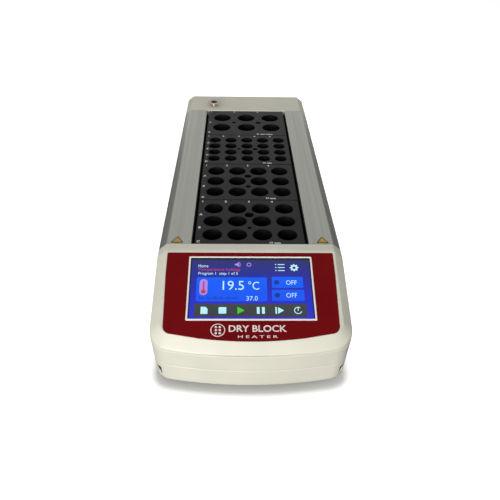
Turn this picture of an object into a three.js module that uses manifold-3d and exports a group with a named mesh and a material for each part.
// Dry block heater: a long bench heater with four lift-out aluminium blocks between two
// brushed-steel side panels, a moulded front hood with a sloping touch panel, and a moulded
// rear cap with the mains inlet, the fuse drawer and the power switch.
//
// Millimetres. +X is to the right, +Y to the back, +Z up. The origin is on the bench,
// under the middle of the heater. Each real piece is one named mesh.

import * as THREE from 'three';
import { mergeVertices } from 'three/addons/utils/BufferGeometryUtils.js';
import Module from 'manifold-3d';

const wasm = await Module();
wasm.setup();

// ---- Driving dimensions ----

const CASING_LENGTH = 460;
const REAR_FITTINGS = 4;
const HALF_WIDTH = 78.2;
const FOOT_HEIGHT = 5;
const DECK_Z = 75;
const FRONT_Y = -(CASING_LENGTH + REAR_FITTINGS) / 2;
const BACK_Y = FRONT_Y + CASING_LENGTH;

const EDGE_SLOPE = 7.5;
const EDGE_DROP = 6.5;
const WALL = 2.5;
const SHEET = 1.2;
const GAP = 0.3;

const WELL_HALF_WIDTH = 50;
const WELL_FRONT_Y = -134;
const WELL_BACK_Y = 170;
const FLANGE_Z = 68.3;

const PARTING_Z = 40.5;
const DRAFT = 3;
const BOW_RADIUS = 320;
const CORNER_RADIUS = 18;
const REAR_CORNER_RADIUS = 9;

const PANEL_TOP_Y = -143.5;
const PANEL_TILT = THREE.MathUtils.degToRad(17.7);

const SCREEN = { width: 101, height: 60.4, border: 1.8, fromTop: 36.8 };

const BLOCK = { width: 95, length: 75.4, height: 50.8, pitch: 76, top: DECK_Z - 1 };
const WELL_DEPTH = 45;

const REAR_PANEL_Z = 36;
const INLET_X = -36;
const SWITCH_X = 36;
const SOCKET = { x: -41.5, y: 187.5 };

// ---- Finishes ----

function finish(color, roughness, metalness = 0) {
  return new THREE.MeshStandardMaterial({ color, roughness, metalness });
}

const MATERIAL = {
  housing: finish('#dcdac8', 0.45),
  steel: finish('#a9aaa2', 0.35, 1),
  zinc: finish('#b9bcbd', 0.45, 1),
  overlay: finish('#70101a', 0.35),
  white: finish('#f4f0e8', 0.5),
  glass: finish('#2036c8', 0.08),
  black: finish('#17181a', 0.45),
  anodised: finish('#2c2e30', 0.4, 0.6),
  liner: finish('#1b1c1d', 0.6, 0.5),
  nickel: finish('#c8bfb2', 0.2, 1),
  brass: finish('#c9a860', 0.3, 1),
  rubber: finish('#222222', 0.85),
  silicone: finish('#b4552d', 0.7),
  insulation: finish('#d8d4c4', 0.95),
  board: finish('#1f6b3a', 0.6),
  wire: finish('#c8c8c8', 0.6),
  red: finish('#a01818', 0.5),
  yellow: finish('#d9a800', 0.5),
  fuse: finish('#dfe6e8', 0.15),
};

// ---- Solids ----

function toSolid(geometry) {
  const bare = geometry.clone();
  bare.deleteAttribute('normal');
  bare.deleteAttribute('uv');
  const merged = mergeVertices(bare, 1e-4);
  return new wasm.Manifold(new wasm.Mesh({
    numProp: 3,
    vertProperties: new Float32Array(merged.attributes.position.array),
    triVerts: new Uint32Array(merged.index.array),
  }));
}

function toGeometry(solid) {
  const mesh = solid.getMesh();
  const points = new Float32Array(mesh.numVert * 3);
  for (let i = 0; i < mesh.numVert; i += 1) {
    for (let k = 0; k < 3; k += 1) {
      points[3 * i + k] = mesh.vertProperties[mesh.numProp * i + k];
    }
  }
  const geometry = new THREE.BufferGeometry();
  geometry.setAttribute('position', new THREE.BufferAttribute(points, 3));
  geometry.setIndex(new THREE.BufferAttribute(new Uint32Array(mesh.triVerts), 1));
  return geometry;
}

// A box from its lowest to its highest corner.
function boxBetween([x0, y0, z0], [x1, y1, z1]) {
  const geometry = new THREE.BoxGeometry(x1 - x0, y1 - y0, z1 - z0);
  return geometry.translate((x0 + x1) / 2, (y0 + y1) / 2, (z0 + z1) / 2);
}

// A plan outline raised from one height to another.
function raised(shape, z0, z1, curveSegments = 4) {
  const options = { depth: z1 - z0, bevelEnabled: false, curveSegments };
  return new THREE.ExtrudeGeometry(shape, options).translate(0, 0, z0);
}

// A plan outline whose upper edge slopes in by `inset` over the height `drop`, with its top at z1.
// Its lower edge slopes the same way, from z0 down.
function sloped(shape, z0, z1, inset, drop, curveSegments = 4) {
  const options = {
    depth: z1 - drop - z0,
    bevelEnabled: true,
    bevelThickness: drop,
    bevelSize: inset,
    bevelOffset: -inset,
    bevelSegments: 1,
    curveSegments,
  };
  return new THREE.ExtrudeGeometry(shape, options).translate(0, 0, z0);
}

// A closed outline from its corner points.
function outline(points) {
  return new THREE.Shape(points.map(([a, b]) => new THREE.Vector2(a, b)));
}

// A profile drawn in X and Z, run along Y.
function alongY(shape, y0, y1, curveSegments = 4) {
  const geometry = raised(shape, 0, y1 - y0, curveSegments);
  const turn = new THREE.Matrix4().makeBasis(
    new THREE.Vector3(1, 0, 0),
    new THREE.Vector3(0, 0, 1),
    new THREE.Vector3(0, -1, 0),
  );
  return geometry.applyMatrix4(turn).translate(0, y1, 0);
}

// A profile drawn in Y and Z, run along X.
function alongX(shape, x0, x1, curveSegments = 4) {
  const geometry = raised(shape, 0, x1 - x0, curveSegments);
  const turn = new THREE.Matrix4().makeBasis(
    new THREE.Vector3(0, 1, 0),
    new THREE.Vector3(0, 0, 1),
    new THREE.Vector3(1, 0, 0),
  );
  return geometry.applyMatrix4(turn).translate(x0, 0, 0);
}

// An upright cylinder.
function post(x, y, z0, z1, radius, sides = 16) {
  const geometry = new THREE.CylinderGeometry(radius, radius, z1 - z0, sides);
  return geometry.rotateX(Math.PI / 2).translate(x, y, (z0 + z1) / 2);
}

// A cylinder lying along Y.
function barY(x, z, y0, y1, radius, sides = 16) {
  const geometry = new THREE.CylinderGeometry(radius, radius, y1 - y0, sides);
  return geometry.translate(x, (y0 + y1) / 2, z);
}

// A turned piece from its half profile of [radius, height] points, standing at x, y.
function turned(points, x, y, sides = 20) {
  const profile = points.map(([r, z]) => new THREE.Vector2(r, z));
  return new THREE.LatheGeometry(profile, sides).rotateX(Math.PI / 2).translate(x, y, 0);
}

// A rectangle with round corners, centred at cx, cy.
function roundedRectangle(cx, cy, width, height, radius) {
  const x = width / 2 - radius;
  const y = height / 2 - radius;
  const shape = new THREE.Shape();
  shape.absarc(cx + x, cy + y, radius, 0, Math.PI / 2);
  shape.absarc(cx - x, cy + y, radius, Math.PI / 2, Math.PI);
  shape.absarc(cx - x, cy - y, radius, Math.PI, Math.PI * 1.5);
  shape.absarc(cx + x, cy - y, radius, Math.PI * 1.5, Math.PI * 2);
  shape.closePath();
  return shape;
}

// A lead of round section through the given points.
function lead(points, radius, steps) {
  const path = new THREE.CatmullRomCurve3(points.map((p) => new THREE.Vector3(...p)));
  const section = new THREE.Shape().absarc(0, 0, radius, 0, Math.PI * 2);
  const options = { steps, extrudePath: path, bevelEnabled: false, curveSegments: 4 };
  return new THREE.ExtrudeGeometry(section, options);
}

function cut(body, ...tools) {
  return tools.reduce((solid, tool) => solid.subtract(toSolid(tool)), body);
}

function join(body, ...others) {
  return others.reduce((solid, other) => solid.add(toSolid(other)), body);
}

// ---- Assembly ----

const heater = new THREE.Group();
const panel = new THREE.Group();
panel.position.set(0, PANEL_TOP_Y, DECK_Z);
panel.rotation.x = PANEL_TILT;
heater.add(panel);
panel.updateMatrixWorld(true);

function place(name, shape, material, parent = heater) {
  const geometry = shape.getMesh ? toGeometry(shape) : shape;
  const mesh = new THREE.Mesh(geometry, material);
  mesh.name = name;
  parent.add(mesh);
}

// Geometry drawn flat on the touch panel, moved to where the panel is.
function onPanel(geometry) {
  return geometry.clone().applyMatrix4(panel.matrixWorld);
}

// ---- Front hood and lower tub ----

// The plan of the front end, `inset` in from its outer face: straight sides, round corners
// and a front that bows out on a large arc.
function frontOutline(inset) {
  const half = HALF_WIDTH - inset;
  const corner = CORNER_RADIUS - inset;
  const bow = BOW_RADIUS - inset;
  const bowY = FRONT_Y + BOW_RADIUS;
  const cornerX = HALF_WIDTH - CORNER_RADIUS;
  const cornerY = bowY - Math.sqrt((BOW_RADIUS - CORNER_RADIUS) ** 2 - cornerX ** 2);
  const meet = Math.asin(cornerX / (BOW_RADIUS - CORNER_RADIUS));
  const down = Math.PI * 1.5;
  const shape = new THREE.Shape();
  shape.moveTo(half, WELL_BACK_Y);
  shape.lineTo(-half, WELL_BACK_Y);
  shape.absarc(-cornerX, cornerY, corner, Math.PI, down - meet);
  shape.absarc(0, bowY, bow, down - meet, down + meet);
  shape.absarc(cornerX, cornerY, corner, down + meet, Math.PI * 2);
  shape.closePath();
  return shape;
}

// The hood's form: level behind the panel's top edge and sloping in front of it.
function hoodForm(inset) {
  const level = sloped(frontOutline(inset), -60, DECK_Z - inset, EDGE_SLOPE, EDGE_DROP);
  const slope = Math.tan(PANEL_TILT);
  const shear = new THREE.Matrix4().makeShear(0, 0, 0, slope, 0, 0);
  const lift = -slope * PANEL_TOP_Y;
  const tilted = level.clone().applyMatrix4(shear).translate(0, 0, lift);
  return toSolid(level).intersect(toSolid(tilted));
}

function slabInFront(y, z0, z1) {
  return toSolid(boxBetween([-100, FRONT_Y - 20, z0], [100, y, z1]));
}

const OVERLAY = { half: 68.7, lowerHalf: 67.1, top: -2.6, bottom: -84.7, arc: 298, corner: 6.5 };

// The printed overlay's outline: straight top, sides that draw in a little, a bowed lower edge.
function overlayOutline(grow) {
  const { half, lowerHalf, top, bottom, arc, corner } = OVERLAY;
  const low = bottom - grow;
  const side = lowerHalf + grow;
  const edgeY = (x) => low + x ** 2 / (2 * arc);
  const shape = new THREE.Shape();
  shape.moveTo(half + grow, top + grow);
  shape.lineTo(-half - grow, top + grow);
  shape.lineTo(-side, edgeY(side) + corner);
  shape.quadraticCurveTo(-side, edgeY(side), corner - side, edgeY(side - corner));
  const turn = Math.asin((side - corner) / arc);
  shape.absarc(0, low + arc, arc, Math.PI * 1.5 - turn, Math.PI * 1.5 + turn);
  shape.quadraticCurveTo(side, edgeY(side), side, edgeY(side) + corner);
  shape.closePath();
  return shape;
}

function screenRectangle(grow, radius = 0.8) {
  const { width, height, fromTop } = SCREEN;
  return roundedRectangle(0, -fromTop, width + 2 * grow, height + 2 * grow, radius);
}

const HOOD_SCREWS = [-55, 55].map((x) => [x, -214]);

function frontHousingUpper() {
  const shell = hoodForm(0)
    .subtract(hoodForm(WALL))
    .intersect(slabInFront(WELL_FRONT_Y - GAP / 2, PARTING_Z, DECK_Z + 5));
  const lip = boxBetween([-70, WELL_FRONT_Y - WALL, FLANGE_Z], [70, WELL_FRONT_Y - GAP / 2, DECK_Z - 1]);
  const bosses = HOOD_SCREWS.map(([x, y]) => post(x, y, PARTING_Z, 48, 4, 12));
  const bores = HOOD_SCREWS.map(([x, y]) => post(x, y, PARTING_Z - 1, 47, 1.8, 12));
  const pocket = onPanel(raised(overlayOutline(GAP), -0.8, 10));
  const window = onPanel(raised(screenRectangle(-1.5), -10, 10, 2));
  return cut(join(shell, lip, ...bosses), ...bores, pocket, window);
}

// A form that narrows downwards: full size at the parting line, drawn in by the draft at the bottom.
function tubForm(inset, floorZ) {
  const height = PARTING_Z - FOOT_HEIGHT;
  const form = toSolid(sloped(frontOutline(inset), PARTING_Z, PARTING_Z + 1 + height, DRAFT, height));
  return form.intersect(slabInFront(WELL_FRONT_Y - GAP / 2 + inset, floorZ, PARTING_Z - GAP));
}

const FOOT_PLACES = [
  ['front_left', -52, -192],
  ['front_right', 52, -192],
  ['rear_left', -52, 203],
  ['rear_right', 52, 203],
];

function footBores(ends) {
  const feet = FOOT_PLACES.filter(([name]) => name.startsWith(ends));
  return feet.map(([, x, y]) => post(x, y, FOOT_HEIGHT - 1, FOOT_HEIGHT + 5, 2.2, 12));
}

function frontHousingLower() {
  const shell = tubForm(0, FOOT_HEIGHT).subtract(tubForm(WALL, FOOT_HEIGHT + WALL));
  const floorZ = FOOT_HEIGHT + 1;
  const posts = HOOD_SCREWS.map(([x, y]) => post(x, y, floorZ, PARTING_Z - GAP, 4, 12));
  const bores = HOOD_SCREWS.map(([x, y]) => post(x, y, floorZ - 2, PARTING_Z + 1, 1.8, 12));
  const heads = HOOD_SCREWS.map(([x, y]) => post(x, y, floorZ - 2, FOOT_HEIGHT + 2.6, 3.4, 12));
  const slots = [-1, 1].map((side) => {
    const slot = new THREE.BoxGeometry(2.6, 16, 9);
    slot.rotateX(0.25).rotateZ(side * 0.9);
    return slot.translate(side * 71, -218, 13.5);
  });
  return cut(join(shell, ...posts), ...bores, ...heads, ...slots, ...footBores('front'));
}

place('front_housing_upper', frontHousingUpper(), MATERIAL.housing);
place('front_housing_lower', frontHousingLower(), MATERIAL.housing);

// ---- Rear cap ----

function rearOutline(inset) {
  const half = HALF_WIDTH - inset;
  const back = BACK_Y - inset;
  const radius = REAR_CORNER_RADIUS - inset;
  const shape = new THREE.Shape();
  shape.moveTo(-half, 0);
  shape.lineTo(half, 0);
  shape.absarc(half - radius, back - radius, radius, 0, Math.PI / 2);
  shape.absarc(radius - half, back - radius, radius, Math.PI / 2, Math.PI);
  shape.closePath();
  return shape;
}

function rearForm(inset, floorZ, slope) {
  const form = toSolid(sloped(rearOutline(inset), -60, DECK_Z - inset, slope, EDGE_DROP, 3));
  const start = WELL_BACK_Y + GAP / 2 - inset;
  return form.intersect(toSolid(boxBetween([-100, start, floorZ], [100, BACK_Y + 5, DECK_Z + 5])));
}

const INLET = { width: 28, height: 32, depth: 24, flange: 3, pinZ: REAR_PANEL_Z + 5 };
const SWITCH = { width: 13, height: 19.6, depth: 16, flange: 1.5 };
const VENTS = [-12, -6, 0, 6, 12];

function rearHousing() {
  const inner = rearForm(WALL, FOOT_HEIGHT + WALL, EDGE_SLOPE - 1.5);
  const shell = rearForm(0, FOOT_HEIGHT, EDGE_SLOPE).subtract(inner);
  const half = WELL_HALF_WIDTH + 18;
  const lip = boxBetween([-half, WELL_BACK_Y + GAP / 2, FLANGE_Z], [half, WELL_BACK_Y + WALL, DECK_Z - 1]);
  const through = (x, width, height) => boxBetween(
    [x - width / 2 - GAP, BACK_Y - 8, REAR_PANEL_Z - height / 2 - GAP],
    [x + width / 2 + GAP, BACK_Y + 5, REAR_PANEL_Z + height / 2 + GAP],
  );
  const vents = VENTS.map((x) => boxBetween([x - 1.5, BACK_Y - 8, 26], [x + 1.5, BACK_Y + 5, 48]));
  const socketBore = post(SOCKET.x, SOCKET.y, DECK_Z - 6, DECK_Z + 5, 5.3, 16);
  return cut(
    join(shell, lip),
    through(INLET_X, INLET.width, INLET.height),
    through(SWITCH_X, SWITCH.width, SWITCH.height),
    ...vents,
    socketBore,
    ...footBores('rear'),
  );
}

place('rear_housing', rearHousing(), MATERIAL.housing);

// ---- Steel side panels and base plate ----

// The sheet's bent section for the right side: lip, deck strip, sloping edge, side, bottom flange.
function sidePanelSection(side) {
  const t = SHEET;
  const lean = t * Math.tan(Math.atan2(EDGE_DROP, EDGE_SLOPE) / 2);
  const rise = t * Math.tan(Math.atan2(EDGE_SLOPE, EDGE_DROP) / 2);
  const deckEnd = HALF_WIDTH - EDGE_SLOPE;
  const points = [
    [WELL_HALF_WIDTH, FLANGE_Z],
    [WELL_HALF_WIDTH + t, FLANGE_Z],
    [WELL_HALF_WIDTH + t, DECK_Z - t],
    [deckEnd - lean, DECK_Z - t],
    [HALF_WIDTH - t, DECK_Z - EDGE_DROP - rise],
    [HALF_WIDTH - t, FOOT_HEIGHT + t],
    [HALF_WIDTH - 13, FOOT_HEIGHT + t],
    [HALF_WIDTH - 13, FOOT_HEIGHT],
    [HALF_WIDTH, FOOT_HEIGHT],
    [HALF_WIDTH, DECK_Z - EDGE_DROP],
    [deckEnd, DECK_Z],
    [WELL_HALF_WIDTH, DECK_Z],
  ];
  return outline(points.map(([x, z]) => [side * x, z]));
}

const BASE_Z = FOOT_HEIGHT + SHEET + GAP;
const BASE_THICKNESS = 1.5;
const BASE_SCREWS = [
  ['front_left', -70, -100],
  ['front_right', 70, -100],
  ['rear_left', -70, 140],
  ['rear_right', 70, 140],
];

function baseBores() {
  return BASE_SCREWS.map(([, x, y]) => post(x, y, 0, BASE_Z + 5, 1.9, 12));
}

for (const [name, side] of [['left_side_panel', -1], ['right_side_panel', 1]]) {
  const sheet = toSolid(alongY(sidePanelSection(side), WELL_FRONT_Y + GAP / 2, WELL_BACK_Y - GAP / 2));
  place(name, cut(sheet, ...baseBores()), MATERIAL.steel);
}

const baseHalf = HALF_WIDTH - SHEET - GAP;
const basePlate = toSolid(boxBetween(
  [-baseHalf, WELL_FRONT_Y + GAP, BASE_Z],
  [baseHalf, WELL_BACK_Y - GAP, BASE_Z + BASE_THICKNESS],
));
place('base_plate', cut(basePlate, ...baseBores()), MATERIAL.zinc);

// A pan-head screw pointing up, with its head below the height z.
function screw(x, y, z, length, headRadius, headHeight, radius) {
  return turned([
    [0, z - headHeight],
    [headRadius * 0.8, z - headHeight],
    [headRadius, z - headHeight * 0.5],
    [headRadius, z],
    [radius, z],
    [radius, z + length],
    [0, z + length],
  ], x, y, 10);
}

for (const [name, x, y] of BASE_SCREWS) {
  place(`base_screw_${name}`, screw(x, y, FOOT_HEIGHT - GAP, 6, 3.2, 1.8, 1.6), MATERIAL.zinc);
}
for (const [i, [x, y]] of HOOD_SCREWS.entries()) {
  const side = i === 0 ? 'left' : 'right';
  place(`hood_screw_${side}`, screw(x, y, FOOT_HEIGHT + 2.2, 38, 3, 1.8, 1.5), MATERIAL.zinc);
}

// ---- Feet ----

for (const [name, x, y] of FOOT_PLACES) {
  const rubber = turned([
    [4.2, 0],
    [7.5, 0],
    [8.5, FOOT_HEIGHT - GAP],
    [2.2, FOOT_HEIGHT - GAP],
    [2.2, 3],
    [4.2, 3],
    [4.2, 0],
  ], x, y, 14);
  place(`foot_${name}`, rubber, MATERIAL.rubber);
  place(`foot_screw_${name}`, screw(x, y, 3 - GAP, 8, 3.6, 1.9, 1.8), MATERIAL.zinc);
}

// ---- Well, heater and insulation ----

const LINER = { floorZ: BLOCK.top - BLOCK.height - GAP, wall: 1.2, floor: 2, top: FLANGE_Z - GAP };

function wellLiner() {
  const { floorZ, wall, floor, top } = LINER;
  const outer = boxBetween(
    [-WELL_HALF_WIDTH - wall, WELL_FRONT_Y - wall, floorZ - floor],
    [WELL_HALF_WIDTH + wall, WELL_BACK_Y + wall, top],
  );
  const inner = boxBetween(
    [-WELL_HALF_WIDTH, WELL_FRONT_Y, floorZ],
    [WELL_HALF_WIDTH, WELL_BACK_Y, top + 5],
  );
  return cut(toSolid(outer), inner);
}

const MAT_TOP_Z = LINER.floorZ - LINER.floor - GAP;
const INSULATION_TOP_Z = MAT_TOP_Z - 1.5 - GAP;

place('well_liner', wellLiner(), MATERIAL.liner);
place('heater_mat', boxBetween([-47, -130, MAT_TOP_Z - 1.5], [47, 166, MAT_TOP_Z]), MATERIAL.silicone);
place(
  'insulation_board',
  boxBetween([-51, -133, INSULATION_TOP_Z - 8], [51, 169, INSULATION_TOP_Z]),
  MATERIAL.insulation,
);
place(
  'well_sensor',
  boxBetween([14, WELL_FRONT_Y - LINER.wall - GAP - 4, 26], [26, WELL_FRONT_Y - LINER.wall - GAP, 34]),
  MATERIAL.nickel,
);
place(
  'thermal_cutout',
  barY(-20, 36, WELL_BACK_Y + LINER.wall + GAP, WELL_BACK_Y + LINER.wall + GAP + 6, 8, 16),
  MATERIAL.black,
);

// ---- Heating blocks ----

const BLOCKS = [
  { name: 'heating_block_21mm', step: 1.5, columns: 3, rows: 2, pitch: [30, 30], radius: 10.5 },
  { name: 'heating_block_13mm', step: 0.5, columns: 5, rows: 4, pitch: [18.3, 15.9], radius: 6.5 },
  { name: 'heating_block_17mm_rear', step: -0.5, columns: 4, rows: 3, pitch: [22, 22], radius: 8.6 },
  { name: 'heating_block_17mm_front', step: -1.5, columns: 4, rows: 3, pitch: [22, 22], radius: 8.6 },
];

// The thermometer bores and lifting-tool bores, [x, y, radius] from each block's centre.
const SMALL_BORES = {
  heating_block_21mm: [[-15, 0, 2.2], [15, 0, 3]],
  heating_block_13mm: [[-9.15, 0, 2], [9.15, 0, 2.6]],
  heating_block_17mm_rear: [[0, 11, 3.4], [0, -11, 2.4]],
  heating_block_17mm_front: [[0, 11, 4.2], [0, -11, 1.8]],
};

function wellCentres(block) {
  const centreY = (WELL_FRONT_Y + WELL_BACK_Y) / 2 + block.step * BLOCK.pitch;
  const centres = [];
  for (let row = 0; row < block.rows; row += 1) {
    for (let column = 0; column < block.columns; column += 1) {
      centres.push([
        (column - (block.columns - 1) / 2) * block.pitch[0],
        centreY + (row - (block.rows - 1) / 2) * block.pitch[1],
      ]);
    }
  }
  return { centreY, centres };
}

for (const block of BLOCKS) {
  const { centreY, centres } = wellCentres(block);
  const body = toSolid(boxBetween(
    [-BLOCK.width / 2, centreY - BLOCK.length / 2, BLOCK.top - BLOCK.height],
    [BLOCK.width / 2, centreY + BLOCK.length / 2, BLOCK.top],
  ));
  const wells = centres.map(([x, y]) => post(x, y, BLOCK.top - WELL_DEPTH, BLOCK.top + 5, block.radius, 14));
  const bores = SMALL_BORES[block.name].map(([x, y, r]) => (
    post(x, centreY + y, BLOCK.top - 30, BLOCK.top + 5, r, 8)
  ));
  place(block.name, cut(body, ...wells, ...bores), MATERIAL.anodised);
}

// ---- Touch panel ----

const overlaySheet = toSolid(raised(overlayOutline(0), -0.5, 0.1));
place('panel_overlay', cut(overlaySheet, raised(screenRectangle(GAP), -5, 5, 2)), MATERIAL.overlay, panel);

const frameRing = toSolid(raised(screenRectangle(0), -0.5, 0.5, 2));
place(
  'screen_frame',
  cut(frameRing, raised(screenRectangle(-SCREEN.border, 0.6), -5, 5, 2)),
  MATERIAL.white,
  panel,
);
place(
  'touch_glass',
  raised(screenRectangle(-SCREEN.border - 0.2, 0.6), -1.2, 0.2, 2),
  MATERIAL.glass,
  panel,
);
place(
  'display_module',
  boxBetween([-53, -SCREEN.fromTop - 33, -7.4], [53, -SCREEN.fromTop + 33, -2.9]),
  MATERIAL.zinc,
  panel,
);

// ---- Control electronics in the front housing ----

function controlBoard() {
  const board = toSolid(boxBetween([-50, -207, 20], [50, -147, 21.6]));
  return join(
    board,
    boxBetween([-44, -202, 21], [-20, -192, 28]),
    boxBetween([-12, -200, 21], [12, -178, 24]),
    boxBetween([-14, -159, 21], [14, -151, 27]),
    boxBetween([24, -202, 21], [44, -190, 30]),
  );
}

function ribbonCable() {
  const shape = outline([
    [-155.5, 27.3],
    [-154.5, 27.3],
    [-149, 40],
    [-150.5, 52],
    [-154, 60.5],
    [-155, 60.5],
    [-151.6, 51.8],
    [-150.1, 40.2],
  ]);
  return alongX(shape, -12, 12);
}

place('control_board', controlBoard(), MATERIAL.board);
place('buzzer', post(36, -174, 21.6 + GAP, 29, 6, 14), MATERIAL.black);
place('ribbon_cable', ribbonCable(), MATERIAL.wire);

// ---- Power electronics in the rear cap ----

function powerBoard() {
  const board = toSolid(boxBetween([-8, 174, 12], [60, 204, 13.6]));
  return join(
    board,
    boxBetween([2, 178, 13], [26, 200, 32]),
    boxBetween([32, 180, 13], [44, 194, 26]),
    boxBetween([48, 178, 13], [56, 198, 22]),
  );
}

place('power_board', powerBoard(), MATERIAL.board);
place('solid_state_relay', boxBetween([64, 176, 24], [74.5, 200, 60]), MATERIAL.black);

// ---- Mains inlet, fuse drawer and power switch ----

const INLET_FACE_Y = BACK_Y + GAP;
const CONNECTOR = { width: 24, height: 15.5, depth: 16 };
const DRAWER = { width: 20, height: 6.4, depth: 16, z: REAR_PANEL_Z - 10.5 };

function rearBox(x, z, width, height, y0, y1) {
  return boxBetween([x - width / 2, y0, z - height / 2], [x + width / 2, y1, z + height / 2]);
}

function powerInlet() {
  const { width, height, depth, flange, pinZ } = INLET;
  const body = toSolid(rearBox(INLET_X, REAR_PANEL_Z, width, height, BACK_Y - depth, BACK_Y + 1));
  const face = alongY(
    roundedRectangle(INLET_X, REAR_PANEL_Z, width + 2 * flange, height + 2 * flange, 2),
    INLET_FACE_Y,
    INLET_FACE_Y + 1.8,
    3,
  );
  const w = CONNECTOR.width / 2;
  const h = CONNECTOR.height / 2;
  const mouth = outline([[-w, -h], [w, -h], [w, h - 5], [w - 5, h], [5 - w, h], [-w, h - 5]].map(
    ([a, b]) => [INLET_X + a, pinZ + b],
  ));
  return cut(
    join(body, face),
    alongY(mouth, BACK_Y - CONNECTOR.depth, BACK_Y + 8),
    rearBox(INLET_X, DRAWER.z, DRAWER.width, DRAWER.height, BACK_Y - DRAWER.depth - GAP, BACK_Y + 8),
  );
}

place('power_inlet', powerInlet(), MATERIAL.black);
for (const [name, dx, dz] of [['live', -7, -2], ['neutral', 7, -2], ['earth', 0, 3]]) {
  const from = BACK_Y - CONNECTOR.depth + GAP;
  place(`inlet_pin_${name}`, rearBox(INLET_X + dx, INLET.pinZ + dz, 2, 4, from, from + 12), MATERIAL.brass);
}

function fuseDrawer() {
  const { width, height, depth, z } = DRAWER;
  const tray = toSolid(rearBox(INLET_X, z, width - 2 * GAP, height - 2 * GAP, BACK_Y - depth, BACK_Y + 3));
  const front = rearBox(INLET_X, z, width + 1, height + 1, INLET_FACE_Y + 1.8 + GAP, BACK_Y + 3.8);
  const holder = rearBox(INLET_X, z + 1, width - 3, height - 1, BACK_Y - depth + 2, BACK_Y - depth + 9);
  return cut(join(tray, front), holder);
}

place('fuse_drawer', fuseDrawer(), MATERIAL.black);

const fuse = new THREE.CylinderGeometry(2.1, 2.1, 16, 12);
fuse.rotateZ(Math.PI / 2).translate(INLET_X, BACK_Y - DRAWER.depth + 5.5, DRAWER.z + 0.5);
place('fuse', fuse, MATERIAL.fuse);

function switchBody() {
  const { width, height, depth, flange } = SWITCH;
  const body = toSolid(rearBox(SWITCH_X, REAR_PANEL_Z, width, height, BACK_Y - depth, BACK_Y + 1));
  const face = alongY(
    roundedRectangle(SWITCH_X, REAR_PANEL_Z, width + 2 * flange, height + 2 * flange, 1.5),
    INLET_FACE_Y,
    INLET_FACE_Y + 1.6,
    3,
  );
  return cut(join(body, face), rearBox(SWITCH_X, REAR_PANEL_Z, 10.4, 18, BACK_Y - 8, BACK_Y + 8));
}

const ROCKER = { tilt: THREE.MathUtils.degToRad(9), half: 7.8, face: 2.8, middle: 1.6, back: -3 };

function rocker() {
  const { tilt, half, face, middle, back } = ROCKER;
  const profile = outline([[back, -half], [face, -half], [middle, 0], [face, half], [back, half]]);
  const geometry = alongX(profile, -4.9, 4.9);
  return geometry.rotateX(-tilt).translate(SWITCH_X, BACK_Y, REAR_PANEL_Z);
}

place('power_switch_body', switchBody(), MATERIAL.black);
place('power_rocker', rocker(), MATERIAL.black);

// ---- Probe socket on the deck ----

function probeSocket() {
  return turned([
    [2.9, 60],
    [5, 60],
    [5, DECK_Z + GAP],
    [8.2, DECK_Z + GAP],
    [8.2, DECK_Z + 3.6],
    [7.4, DECK_Z + 5],
    [4.4, DECK_Z + 5],
    [4.4, 66],
    [2.9, 66],
    [2.9, 60],
  ], SOCKET.x, SOCKET.y, 20);
}

function socketNut() {
  const top = DECK_Z - WALL - GAP;
  const hexagon = toSolid(post(SOCKET.x, SOCKET.y, top - 2.5, top, 8, 6));
  return cut(hexagon, post(SOCKET.x, SOCKET.y, top - 5, top + 2, 5.3, 16));
}

place('probe_socket', probeSocket(), MATERIAL.nickel);
place('probe_socket_nut', socketNut(), MATERIAL.nickel);

// ---- Hot-surface labels on the side panels ----

for (const [name, x] of [['hot_surface_label_left', -62.3], ['hot_surface_label_right', 62.3]]) {
  const triangle = outline([[x - 5.6, -132.4], [x + 5.6, -132.4], [x, -122.4]]);
  place(name, raised(triangle, DECK_Z + 0.05, DECK_Z + 0.3), MATERIAL.yellow);
}

// ---- Leads inside the casing ----

const SIDE_BAY_X = 63;

place('probe_lead', lead([
  [SOCKET.x, SOCKET.y, 59],
  [SOCKET.x, SOCKET.y, 50],
  [-52, 188, 30],
  [-SIDE_BAY_X, 163, 14],
  [-SIDE_BAY_X, 60, 12],
  [-SIDE_BAY_X, -60, 12],
  [-SIDE_BAY_X, -132, 14],
  [-59, -154, 22],
  [-52.5, -162, 25],
], 1.5, 26), MATERIAL.wire);
place('power_lead', lead([
  [60.5, 188, 16],
  [66, 176, 16],
  [SIDE_BAY_X + 2, 158, 12],
  [SIDE_BAY_X + 2, 60, 12],
  [SIDE_BAY_X + 2, -60, 12],
  [SIDE_BAY_X + 2, -132, 13],
  [61, -167, 18],
  [52.5, -177, 20.8],
], 1.8, 26), MATERIAL.red);
place('mains_lead', lead([
  [INLET_X, BACK_Y - INLET.depth - 0.8, 40],
  [INLET_X, BACK_Y - INLET.depth - 4, 40],
  [-31, 195, 34],
  [-23, 190, 19],
  [-14, 188, 13],
  [-9, 188, 12.8],
], 1.8, 14), MATERIAL.wire);
place('heater_lead', lead([
  [30, 166.5, MAT_TOP_Z - 0.8],
  [30, 171.5, MAT_TOP_Z - 1.2],
  [30, 173.6, 24],
  [34, 175, 33],
  [50, 178, 40],
  [63.5, 184, 44],
], 0.6, 14), MATERIAL.red);
place('sensor_lead', lead([
  [20, WELL_FRONT_Y - 5.9, 30],
  [20, -143, 31],
  [18, -147, 31],
  [16, -149.5, 30],
  [14.6, -154, 26],
], 0.6, 10), MATERIAL.wire);

export default heater;
